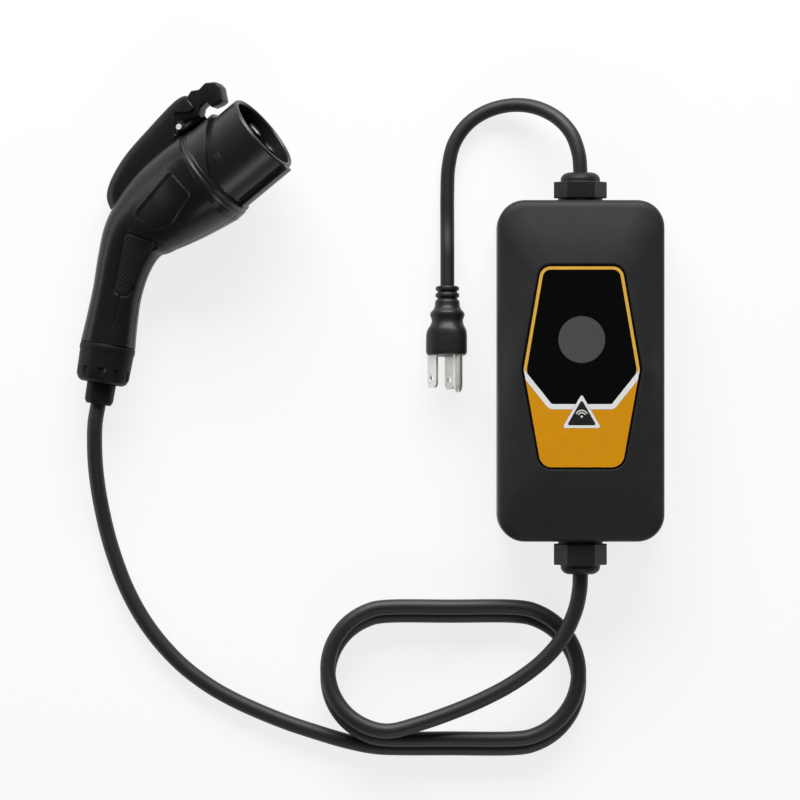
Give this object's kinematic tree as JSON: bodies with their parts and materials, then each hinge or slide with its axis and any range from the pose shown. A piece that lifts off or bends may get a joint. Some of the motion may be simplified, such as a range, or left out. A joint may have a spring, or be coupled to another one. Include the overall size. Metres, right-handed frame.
{
  "type": "portable ev charger",
  "caption": "Portable vehicle charger: flat control box with a six-sided front panel, short input lead with plug, coiled charging cable and a bent connector with latch.",
  "frame": {"origin": "centre of the control box's flat back, on the surface that everything lies on", "axes": "+X to the right of the panel, +Y along the box towards the input lead, +Z out of the panel"},
  "size_m": [0.3038, 0.3493, 0.058],
  "materials": {
    "case_plastic": "fine matt texture",
    "seal_rubber": "soft moulded",
    "cord_jacket": "smooth satin jacket",
    "panel_black": "gloss",
    "amber_print": "printed film",
    "white_print": "printed film",
    "lens": "diffuse",
    "handle_plastic": "fine spark texture",
    "plated_brass": "nickel plated",
    "steel": "zinc plated",
    "board": "solder mask",
    "component": "moulded"
  },
  "bodies": {
    "charger": {"rear_cover": "case_plastic", "case_seal": "seal_rubber", "front_shell": "case_plastic", "cover_screws": "steel", "face_panel": "panel_black", "panel_frame": "amber_print", "panel_field": "amber_print", "chevron_stripe": "white_print", "tap_badge": "white_print", "tap_badge_face": "panel_black", "indicator_lens": "lens", "led_ring": "board", "circuit_board": "board", "relays": "component", "current_sensor": "component", "power_module": "component", "terminal_blocks": "board", "board_screws": "steel", "input_gland_body": "case_plastic", "input_gland_nut": "case_plastic", "input_gland_seal": "seal_rubber", "input_gland_locknut": "case_plastic", "output_gland_body": "case_plastic", "output_gland_nut": "case_plastic", "output_gland_seal": "seal_rubber", "output_gland_locknut": "case_plastic", "input_lead": "cord_jacket", "plug_body": "cord_jacket", "plug_blades": "plated_brass", "plug_earth_pin": "plated_brass", "cable_to_box": "cord_jacket", "cable_coil": "cord_jacket", "cable_to_handle": "cord_jacket", "handle_shell_left": "handle_plastic", "handle_shell_right": "handle_plastic", "nose_barrel": "handle_plastic", "nose_collar": "handle_plastic", "contact_carrier": "handle_plastic", "power_contacts": "plated_brass", "earth_contact": "plated_brass", "signal_contacts": "plated_brass", "grip_pad_left": "seal_rubber", "grip_pad_right": "seal_rubber", "latch_switch": "handle_plastic", "cable_clamp": "handle_plastic", "end_cap": "handle_plastic", "handle_strain_relief": "seal_rubber", "handle_screws": "steel", "latch_pin": "steel", "latch_spring": "steel"},
    "latch": {"latch_lever": "handle_plastic"}
  },
  "joints": [
    {"name": "latch_pivot", "type": "hinge", "parent": "charger", "child": "latch", "pos_m": [-0.20551, 0.12578, 0.01977], "axis": [-0.3685, 0.0885, 0.9254], "range_deg": [0, 3.5], "stiffness_Nm_per_rad": 0.6, "springref_deg": -5.73, "deforming": ["latch_spring"]}
  ]
}
